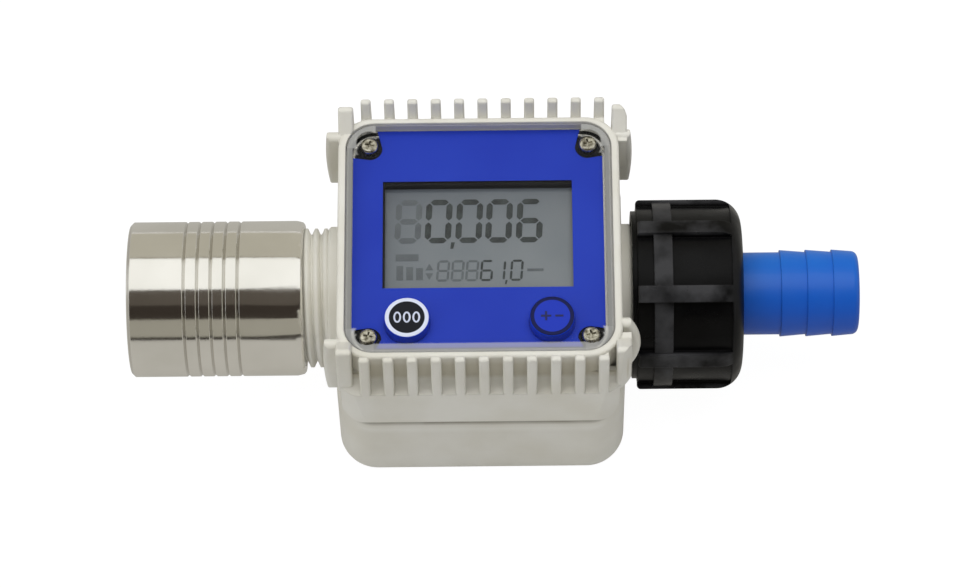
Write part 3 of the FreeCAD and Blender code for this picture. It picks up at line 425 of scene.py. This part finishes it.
def dress_cad():
    """Gives each CAD node the finish of its slot."""
    for name, obj in NODES.items():
        slots = {s.material.name.split(".")[0] for s in obj.material_slots if s.material}
        finish = next((FINISH[s] for s in slots if s in FINISH), None)
        if finish is None:
            raise RuntimeError("no finish for " + name + " " + str(slots))
        for slot in obj.material_slots:
            slot.material = finish


dress_cad()


# ---------------------------------------------------------------- mesh helpers

def put_in_scene(name, data):
    obj = bpy.data.objects.new(name, data)
    bpy.context.scene.collection.objects.link(obj)
    return obj


def mesh_from(name, bm):
    mesh = bpy.data.meshes.new(name)
    bm.to_mesh(mesh)
    bm.free()
    return mesh


def evaluated_mesh(obj):
    """Plain mesh of an object as its modifiers leave it."""
    return bpy.data.meshes.new_from_object(obj.evaluated_get(bpy.context.evaluated_depsgraph_get()))


def mesh_piece(name, bm, finish, body):
    """Turns the faces outwards and hands the piece to its body."""
    bmesh.ops.recalc_face_normals(bm, faces=bm.faces[:])
    obj = put_in_scene(name, mesh_from(name, bm))
    obj.data.materials.append(finish)
    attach(obj, body)
    return obj


def rectangle(x0, y0, x1, y1):
    return [(x0, y0), (x1, y0), (x1, y1), (x0, y1)]


def arc(radius, start, end, steps):
    """Points on a circle round the origin, from start to end degrees."""
    angles = [math.radians(start + (end - start) * i / steps) for i in range(steps + 1)]
    return [(radius * math.cos(a), radius * math.sin(a)) for a in angles]


def oval(cx, cy, rx, ry, steps):
    turns = [math.tau * i / steps for i in range(steps)]
    return [(cx + rx * math.cos(a), cy + ry * math.sin(a)) for a in turns]


def loop(bm, outline, z):
    """Corners of a closed outline at a height."""
    return [bm.verts.new((x * MM, y * MM, z * MM)) for x, y in outline]


def wall(bm, low, high):
    """Faces between two closed loops of corners."""
    for i in range(len(low)):
        j = (i + 1) % len(low)
        bm.faces.new((low[i], low[j], high[j], high[i]))


def plate(bm, outline, z0, z1):
    """Thin plate with the given outline."""
    low, high = loop(bm, outline, z0), loop(bm, outline, z1)
    bm.faces.new(high)
    bm.faces.new(low[::-1])
    wall(bm, low, high)


def smooth_by_angle(bm, degrees):
    """Soft shading inside curved faces, sharp at real edges."""
    limit = math.radians(degrees)
    for face in bm.faces:
        face.smooth = True
    for edge in bm.edges:
        edge.smooth = len(edge.link_faces) == 2 and edge.calc_face_angle(0.0) < limit


# ---------------------------------------------------------------- label under the clear cover

NOTCH_R, NOTCH_FLARE = 3.05, 1.2                    # the label is cut away round each screw
NOTCH_STEPS = 12
LABEL_LEFT, LABEL_RIGHT = 1.5, 2.0                  # clear border left round the label
LABEL_NEAR, LABEL_FAR = 2.6, 0.15
LABEL_THICK = 0.06
BUTTON_HOLE_R, BUTTON_HOLE_STEPS = 5.4, 60
WINDOW = (-22.6, -12.0, 21.9, 16.5)                 # opening of the film over the display


def notch(sx, sy, ex, ey):
    """Outline of one notched corner of the label, whose edges lie at ex and ey."""
    cx, cy = sx * SCREW_X, sy * SCREW_Y
    bend = [(cx - sx * px, cy - sy * py) for px, py in arc(NOTCH_R, 90.0, 0.0, NOTCH_STEPS)]
    path = [(ex, cy - sy * (NOTCH_R - NOTCH_FLARE / 2))] + bend + [(cx - sx * (NOTCH_R - NOTCH_FLARE), ey)]
    return path if sx * sy > 0 else path[::-1]


def label():
    """Printed film on the underside of the cover, cut round the screws, the window and the buttons."""
    x0, x1 = COVER_LOW.x + LABEL_LEFT, COVER_HIGH.x - LABEL_RIGHT
    y0, y1 = COVER_LOW.y + LABEL_NEAR, COVER_HIGH.y - LABEL_FAR
    outline = []
    for sx, sy in ((1, -1), (1, 1), (-1, 1), (-1, -1)):
        outline += notch(sx, sy, x1 if sx > 0 else x0, y1 if sy > 0 else y0)
    holes = [oval(*button_centre(n), BUTTON_HOLE_R, BUTTON_HOLE_R, BUTTON_HOLE_STEPS) for n in BUTTONS]
    bm = bmesh.new()
    edges = []
    for ring in (outline, rectangle(*WINDOW), *holes):
        verts = loop(bm, ring, COVER_LOW.z + LABEL_THICK / 2)
        edges += [bm.edges.new((a, b)) for a, b in zip(verts, verts[1:] + verts[:1])]
    bmesh.ops.triangle_fill(bm, edges=edges, use_beauty=True)
    for face in bm.faces:
        if face.normal.z < 0:
            face.normal_flip()
    drawn = bmesh.ops.extrude_face_region(bm, geom=bm.faces[:])
    for v in (g for g in drawn["geom"] if isinstance(g, bmesh.types.BMVert)):
        v.co.z -= LABEL_THICK * MM
    obj = mesh_piece("printed_label", bm, LABEL, "meter")
    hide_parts("face_panel")


label()


# ---------------------------------------------------------------- display

LCD_Z = LCD_HIGH.z                                  # top of the glass, under the window
INK = 0.05                                          # thickness of a drawn segment
SEGMENTS = {"0": "abcdef", "1": "bc", "6": "acdefg", "8": "abcdefg"}
SEGMENT_GAP = 0.16                                  # gap at a segment's end, as a share of its width

BIG = {"y": 1.0, "wide": 6.2, "high": 11.7, "width": 1.45, "slant": 0.05}
SMALL = {"y": -9.2, "wide": 3.0, "high": 5.6, "width": 0.55, "slant": 0.08}
LIT_ROWS = ((BIG, "0006", (-12.9, -5.7, 1.3, 8.5)), (SMALL, "610", (0.0, 2.9, 7.0)))
UNLIT_ROWS = ((BIG, "8", (-20.0,)), (SMALL, "888", (-10.2, -6.8, -3.4)))
COMMAS = (((-6.6, 1.2), (-5.7, 1.2), (-6.1, -0.5), (-6.8, -0.5)),
          ((6.1, -9.0), (6.6, -9.0), (6.3, -10.1), (5.9, -10.1)))
BARS = ((-19.6, -3.7, -14.2, -1.9), (11.2, -6.7, 15.0, -6.0))
LEVEL_BARS, LEVEL_STEP, LEVEL_DROP = 3, 2.3, 0.3    # a row of bars, each one lower than the last
LEVEL_FIRST = (-19.4, -8.8, -17.8, -5.0)
ARROWS = (((-12.6, -6.2), (-11.7, -4.4), (-10.8, -6.2)), ((-12.6, -7.0), (-10.8, -7.0), (-11.7, -8.8)))


def stroke(a, b, width, slant):
    """Pointed bar from a to b, sheared sideways by slant per unit of height."""
    ax, ay, bx, by = *a, *b
    length = math.hypot(bx - ax, by - ay)
    ux, uy = (bx - ax) / length, (by - ay) / length
    gap, half = SEGMENT_GAP * width, width / 2
    points = []
    for along, side in ((gap, 0), (gap + half, half), (length - gap - half, half), (length - gap, 0),
                        (length - gap - half, -half), (gap + half, -half)):
        x, y = ax + ux * along - uy * side, ay + uy * along + ux * side
        points.append((x + slant * y, y))
    return points


def ink(bm, outline):
    plate(bm, outline, LCD_Z, LCD_Z + INK)


def digit(bm, shown, x, y, wide, high, width, slant):
    """Seven-segment figure with its lower left corner at x, y."""
    half = width / 2
    left, right, low, top, mid = half, wide - half, half, high - half, high / 2
    lines = {"a": ((left, top), (right, top)), "b": ((right, mid), (right, top)),
             "c": ((right, low), (right, mid)), "d": ((left, low), (right, low)),
             "e": ((left, low), (left, mid)), "f": ((left, mid), (left, top)),
             "g": ((left, mid), (right, mid))}
    for key in SEGMENTS[shown]:
        ink(bm, [(x + px, y + py) for px, py in stroke(*lines[key], width, slant)])


def figures(rows, outlines):
    """Mesh of rows of figures and of other outlines."""
    bm = bmesh.new()
    for row, shown, places in rows:
        for figure, x in zip(shown, places):
            digit(bm, figure, x, **row)
    for outline in outlines:
        ink(bm, outline)
    return bm


def display_figures():
    """Upper row 0,006 and lower row 61,0, each with the faint figures beside it."""
    x0, y0, x1, y1 = LEVEL_FIRST
    levels = [(x0 + i * LEVEL_STEP, y0, x1 + i * LEVEL_STEP, y1 - i * LEVEL_DROP) for i in range(LEVEL_BARS)]
    faint = [rectangle(*sides) for sides in (*BARS, *levels)] + list(ARROWS)
    mesh_piece("lcd_figures", figures(LIT_ROWS, COMMAS), LCD_DARK, "meter")
    mesh_piece("lcd_unlit_figures", figures(UNLIT_ROWS, faint), LCD_GHOST, "meter")


display_figures()


# ---------------------------------------------------------------- button marks

MARK_THICK = 0.04
NOUGHTS_X = (-2.2, 0.0, 2.2)
NOUGHT_RX, NOUGHT_RY, NOUGHT_LINE, NOUGHT_STEPS = 0.9, 1.45, 0.42, 40
SIGN_LINE = 0.26                                    # half the width of the plus's and minus's line
PLUS_X, PLUS_ARM = -1.4, 1.2
MINUS_FROM, MINUS_TO = 0.7, 2.6
SIGNS = ((PLUS_X - PLUS_ARM, -SIGN_LINE, PLUS_X + PLUS_ARM, SIGN_LINE),
         (PLUS_X - SIGN_LINE, SIGN_LINE, PLUS_X + SIGN_LINE, PLUS_ARM),
         (PLUS_X - SIGN_LINE, -PLUS_ARM, PLUS_X + SIGN_LINE, -SIGN_LINE),
         (MINUS_FROM, -SIGN_LINE, MINUS_TO, SIGN_LINE))


def nought(bm, cx, cy, z):
    """Upright oval line, drawn as a closed band."""
    outer = oval(cx, cy, NOUGHT_RX, NOUGHT_RY, NOUGHT_STEPS)
    inner = oval(cx, cy, NOUGHT_RX - NOUGHT_LINE, NOUGHT_RY - NOUGHT_LINE, NOUGHT_STEPS)
    top = z + MARK_THICK
    rings = [loop(bm, ring, height) for ring, height in ((outer, z), (outer, top), (inner, top), (inner, z))]
    for low, high in zip(rings, rings[1:] + rings[:1]):
        wall(bm, low, high)


def button_mark(node, finish, draw):
    """Marks on one button, drawn by a function of the mesh, the button's centre and its top."""
    bm = bmesh.new()
    draw(bm, *button_centre(node), node_box(node)[1].z)
    mesh_piece(node + "_mark", bm, finish, node)


def three_noughts(bm, cx, cy, z):
    for x in NOUGHTS_X:
        nought(bm, cx + x, cy, z)


def plus_and_minus(bm, cx, cy, z):
    for x0, y0, x1, y1 in SIGNS:
        plate(bm, rectangle(cx + x0, cy + y0, cx + x1, cy + y1), z, z + MARK_THICK)


button_mark("reset_button", MARK_WHITE, three_noughts)
button_mark("cal_button", MARK_BLUE, plus_and_minus)


# ---------------------------------------------------------------- pipe threads

PITCH = 2.3091                                      # G1: eleven threads to the inch
ROOT_R, CREST_R = 15.15, 16.62
THREAD_SINK = 0.12                                  # the ridge's foot lies this far under the root
FOOT_SHARE, CREST_SHARE = 0.46, 0.15                # half widths of the ridge, as shares of the pitch
STEPS_A_TURN = 72
FADE_A_TURN = 1.6                                   # how fast the ridge rises at its ends
MALE_RUNS = {"thread_left": (-51.9, -34.6), "thread_right": (34.6, 51.9)}
NUT_RUNS = ((36.2, 55.0),)
SOCKET_RUNS = ((-58.6, -40.9), (-84.6, -62.4))
FEMALE_CLEAR = 0.1
CAD_WELD, CUT_WELD, RIDGE_WELD = 0.002, 0.001, 0.004
THREAD_SMOOTH, CUT_SMOOTH = 70.0, 30.0              # degrees up to which an edge is shaded soft
EASE_LENGTH, EASE_DROP = 1.9, 0.45                  # soft chamfer at the socket's inner end


def from_nodes(name, build, finish, **inputs):
    """Evaluates a geometry tree once and returns its result as a plain mesh."""
    tree = bpy.data.node_groups.new(name, "GeometryNodeTree")
    tree.interface.new_socket("Geometry", in_out="INPUT", socket_type="NodeSocketGeometry")
    tree.interface.new_socket("Geometry", in_out="OUTPUT", socket_type="NodeSocketGeometry")
    sockets = {key: tree.interface.new_socket(key, in_out="INPUT", socket_type="NodeSocketFloat")
               for key in inputs}
    given, kept = tree.nodes.new("NodeGroupInput"), tree.nodes.new("NodeGroupOutput")
    maker = Tree(tree)
    result = build(maker, {key: Wire(tree, given.outputs[key]) for key in inputs})
    result = maker.node("GeometryNodeRealizeInstances", Geometry=result)
    result = maker.node("GeometryNodeSetMaterial", Geometry=result, Material=finish)
    tree.links.new(result.socket, kept.inputs[0])
    obj = put_in_scene(name, bpy.data.meshes.new(name + "_seed"))
    modifier = obj.modifiers.new(name, "NODES")
    modifier.node_group = tree
    for key, value in inputs.items():
        modifier[sockets[key].identifier] = float(value)
    mesh = evaluated_mesh(obj)
    bpy.data.objects.remove(obj)
    return mesh


def ridge(count):
    """Geometry tree of a screw ridge: a closed band wound round the pipe axis, fading at both ends."""
    def build(t, given):
        grid = t.node("GeometryNodeMeshGrid", Size_X=1.0, Size_Y=4.0, Vertices_X=count, Vertices_Y=5)
        place = t.node("GeometryNodeInputPosition")
        u = t.node("ShaderNodeSeparateXYZ", out=0, Vector=place) + 0.5
        v = t.node("ShaderNodeSeparateXYZ", out=1, Vector=place)
        on_crest = (v + 0.5).size().below(1.0)
        side = (v.above(-0.5) - v.above(1.5)) * 2.0 - 1.0
        turns = given["Length"] / given["Pitch"]
        fade = (u.least(1.0 - u) * turns * given["Fade"]).clamp()
        radius = given["Foot Radius"] + on_crest * fade * given["Rise"]
        half = given["Foot Half"] + on_crest * (given["Crest Half"] - given["Foot Half"])
        along = given["Start"] + u * given["Length"]
        angle = along / given["Pitch"] * math.tau
        new = t.node("ShaderNodeCombineXYZ", X=along + side * half, Y=radius * angle.math("COSINE"),
                     Z=radius * angle.math("SINE") + AXIS_Z * MM)
        moved = t.node("GeometryNodeSetPosition", Geometry=grid, Position=new)
        return t.node("GeometryNodeMergeByDistance", Geometry=moved, Distance=RIDGE_WELD * MM)
    return build


def thread_mesh(name, start, stop, clear, finish):
    """Ridge from start to stop along the pipe; clear makes it larger, for a cutter."""
    length = stop - start
    mesh = from_nodes(name, ridge(int(length / PITCH * STEPS_A_TURN) + 1), finish, **{
        "Start": start * MM, "Length": length * MM, "Pitch": PITCH * MM, "Fade": FADE_A_TURN,
        "Foot Radius": (ROOT_R - THREAD_SINK) * MM, "Rise": (CREST_R + clear - ROOT_R + THREAD_SINK) * MM,
        "Foot Half": (FOOT_SHARE * PITCH + clear / 2) * MM,
        "Crest Half": (CREST_SHARE * PITCH + clear / 2) * MM})
    bm = bmesh.new()
    bm.from_mesh(mesh)
    bmesh.ops.holes_fill(bm, edges=bm.edges[:], sides=6)
    bmesh.ops.recalc_face_normals(bm, faces=bm.faces[:])
    return bm


def male_threads():
    for name, run in MALE_RUNS.items():
        bm = thread_mesh(name, *run, 0.0, CREAM)
        smooth_by_angle(bm, THREAD_SMOOTH)
        mesh_piece(name, bm, CREAM, "meter")


def eased_end(bm):
    """Tapers the outside of a turned part over its last stretch towards +X."""
    end = max(v.co.x for v in bm.verts)
    start = end - EASE_LENGTH * MM
    bmesh.ops.bisect_plane(bm, geom=bm.verts[:] + bm.edges[:] + bm.faces[:], dist=1e-7,
                           plane_co=(start, 0.0, 0.0), plane_no=(1.0, 0.0, 0.0))
    for v in bm.verts:
        radius = math.hypot(v.co.y, v.co.z - AXIS_Z * MM)
        if v.co.x > start and radius > OUTSIDE_FROM_R * MM:
            shrink = 1.0 - EASE_DROP * MM * (v.co.x - start) / (end - start) / radius
            v.co.y *= shrink
            v.co.z = AXIS_Z * MM + (v.co.z - AXIS_Z * MM) * shrink


def cut_female(node, finish, body, runs, shape=None):
    """Copy of a node with its bore cut by the ridge of the thread it takes."""
    bm = bmesh.new()
    bm.from_mesh(NODES[node].data)
    bmesh.ops.remove_doubles(bm, verts=bm.verts[:], dist=CAD_WELD * MM)
    if shape:
        shape(bm)
    obj = mesh_piece(node + "_threaded", bm, finish, body)
    for run in runs:
        cutter = put_in_scene("cutter", mesh_from("cutter", thread_mesh("cutter", *run, FEMALE_CLEAR, finish)))
        cut = obj.modifiers.new("cut", "BOOLEAN")
        cut.operation, cut.object, cut.solver = "DIFFERENCE", cutter, "EXACT"
        result = evaluated_mesh(obj)
        obj.modifiers.clear()
        bpy.data.objects.remove(cutter)
        obj.data = result
    done = bmesh.new()
    done.from_mesh(obj.data)
    bmesh.ops.remove_doubles(done, verts=done.verts[:], dist=CUT_WELD * MM)
    smooth_by_angle(done, CUT_SMOOTH)
    done.to_mesh(obj.data)
    done.free()
    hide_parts(node)


male_threads()
cut_female("union_nut", NUT_PLASTIC, "nut", NUT_RUNS)
cut_female("steel_coupling", COUPLING_STEEL, "meter", SOCKET_RUNS, shape=eased_end)


# ---------------------------------------------------------------- camera, light, floor; lengths in metres

AIM = Vector((8.25, 0.0, AXIS_Z)) * MM
AIM_DISTANCE = 1.050
ELEVATION, ROLL = math.radians(61.75), math.radians(-0.58)
FIELD_WIDTH = 0.2344498                             # width of the view at the pipe axis, in metres
SENSOR_WIDTH = 36.0
VIEW_SHIFT = (-0.0255, 0.002)

SKY = 0.40                                          # how bright the surroundings shine
WHITE = (1.0, 1.0, 1.0)
PAPER, WARM_PAPER = (0.86, 0.86, 0.86), (1.0, 0.965, 0.87)
FLOOR_Z, FLOOR_HALF = -0.05 * MM, 3.0
FLOOR_GLOW, FLOOR_GLOW_DIRECT, FLOOR_SEEN = 0.42, 0.66, 0.90

LIGHTS_AIM = (0.0, 0.0, 0.03)
LIGHTS = {                                          # place, size and power
    "overhead": ((0.0, 0.15, 1.2), (1.4, 1.0), 10.0),
    "left_fill": ((-1.1, -0.5, 0.9), (0.9, 0.9), 3.0),
}

CARD_RADIUS, CARD_LENGTH, CARD_STEPS = 1.6, 5.0, 12
CARDS = {                                           # degrees round the pipe axis from the near side, and tone
    "back_card": (127.0, 179.0, lin(178, 174, 161)),
    "back_line": (125.0, 127.0, lin(120, 114, 100)),
    "top_card": (76.0, 125.0, lin(248, 248, 244)),
    "front_flag_high": (53.0, 76.0, lin(84, 78, 71)),
    "front_flag_low": (32.0, 53.0, lin(53, 47, 42)),
    "front_card": (4.0, 32.0, lin(152, 149, 138)),
    "horizon_line": (-0.9, 4.0, lin(36, 31, 26)),
}


def facing(place, back):
    """Matrix of a camera or lamp at a place, its back turned to a direction."""
    return Matrix.Translation(place) @ back.to_track_quat("Z", "Y").to_matrix().to_4x4()


def camera():
    data = bpy.data.cameras.new("camera")
    data.sensor_width = SENSOR_WIDTH
    data.lens = SENSOR_WIDTH * AIM_DISTANCE / FIELD_WIDTH
    data.shift_x, data.shift_y = VIEW_SHIFT
    data.clip_start, data.clip_end = 0.05, 20.0
    cam = put_in_scene("camera", data)
    back = Vector((0.0, -math.cos(ELEVATION), math.sin(ELEVATION)))
    cam.matrix_world = facing(AIM + back * AIM_DISTANCE, back) @ Matrix.Rotation(ROLL, 4, "Z")
    bpy.context.scene.camera = cam


def softbox(name, place, size, power):
    data = bpy.data.lights.new(name, "AREA")
    data.shape, data.size, data.size_y = "RECTANGLE", *size
    data.energy = power
    lamp = put_in_scene(name, data)
    place = Vector(place)
    lamp.matrix_world = facing(place, place - Vector(LIGHTS_AIM))
    lamp.visible_glossy = False


def ray_kinds(tree):
    """Whether a ray comes from the camera, and whether it comes from there, a reflection or a clear piece."""
    direct, glossy, through = (tree.node("ShaderNodeLightPath", out="Is " + kind + " Ray")
                               for kind in ("Camera", "Glossy", "Transmission"))
    return direct, (direct + glossy + through).clamp()


def world():
    """White to whatever sees it, dimmer as a source of light."""
    studio = bpy.data.worlds.new("studio")
    bpy.context.scene.world = studio
    studio.use_nodes = True
    tree = Tree(studio.node_tree)
    seen = ray_kinds(tree)[1]
    background = tree.tree.nodes["Background"]
    feed(tree.tree, background.inputs["Color"], WHITE)
    feed(tree.tree, background.inputs["Strength"], seen * (1.0 - SKY) + SKY)


def glowing(name, colour):
    """Material that only shines."""
    mat = bpy.data.materials.new(name)
    mat.use_nodes = True
    tree = Tree(mat.node_tree)
    tree.tree.nodes.clear()
    out = tree.tree.nodes.new("ShaderNodeOutputMaterial")
    feed(tree.tree, out.inputs[0], tree.node("ShaderNodeEmission", Color=colour, Strength=1.0))
    return mat


def stage_piece(name, bm, finish):
    obj = put_in_scene(name, mesh_from(name, bm))
    obj.data.materials.append(finish)
    return obj


def reflector(name, start, end, colour):
    """Curved studio card round the pipe's direction, seen only in polished surfaces."""
    bm = bmesh.new()
    rows = [[bm.verts.new((x * CARD_LENGTH / 2, -y, z + AXIS_Z * MM)) for x in (-1, 1)]
            for y, z in arc(CARD_RADIUS, start, end, CARD_STEPS)]
    for a, b in zip(rows, rows[1:]):
        bm.faces.new((a[0], a[1], b[1], b[0]))
    card = stage_piece(name, bm, glowing(name, colour))
    card.visible_camera = card.visible_diffuse = card.visible_shadow = False
    card.visible_transmission = card.visible_volume_scatter = False


def floor():
    """Pale paper, white to the camera and warm in reflections."""
    mat = material("floor_paper", PAPER, 0.9, Specular_IOR_Level=0.0)
    tree = Tree(mat.node_tree)
    direct, seen = ray_kinds(tree)
    glow = tree.node("ShaderNodeEmission", Strength=direct * FLOOR_GLOW_DIRECT + FLOOR_GLOW,
                     Color=tree.blend(direct, WARM_PAPER, WHITE))
    paper = Wire(tree.tree, tree.tree.nodes["Principled BSDF"].outputs[0])
    mix = tree.node("ShaderNodeMixShader", i0=seen * FLOOR_SEEN, i1=paper, i2=glow)
    feed(tree.tree, tree.tree.nodes["Material Output"].inputs[0], mix)
    bm = bmesh.new()
    corners = rectangle(-FLOOR_HALF, -FLOOR_HALF, FLOOR_HALF, FLOOR_HALF)
    bm.faces.new([bm.verts.new((x, y, FLOOR_Z)) for x, y in corners])
    stage_piece("floor", bm, mat)


camera()
world()
floor()
for lamp_name, settings in LIGHTS.items():
    softbox(lamp_name, *settings)
for card_name, settings in CARDS.items():
    reflector(card_name, *settings)

bpy.context.scene.view_settings.view_transform = "Standard"
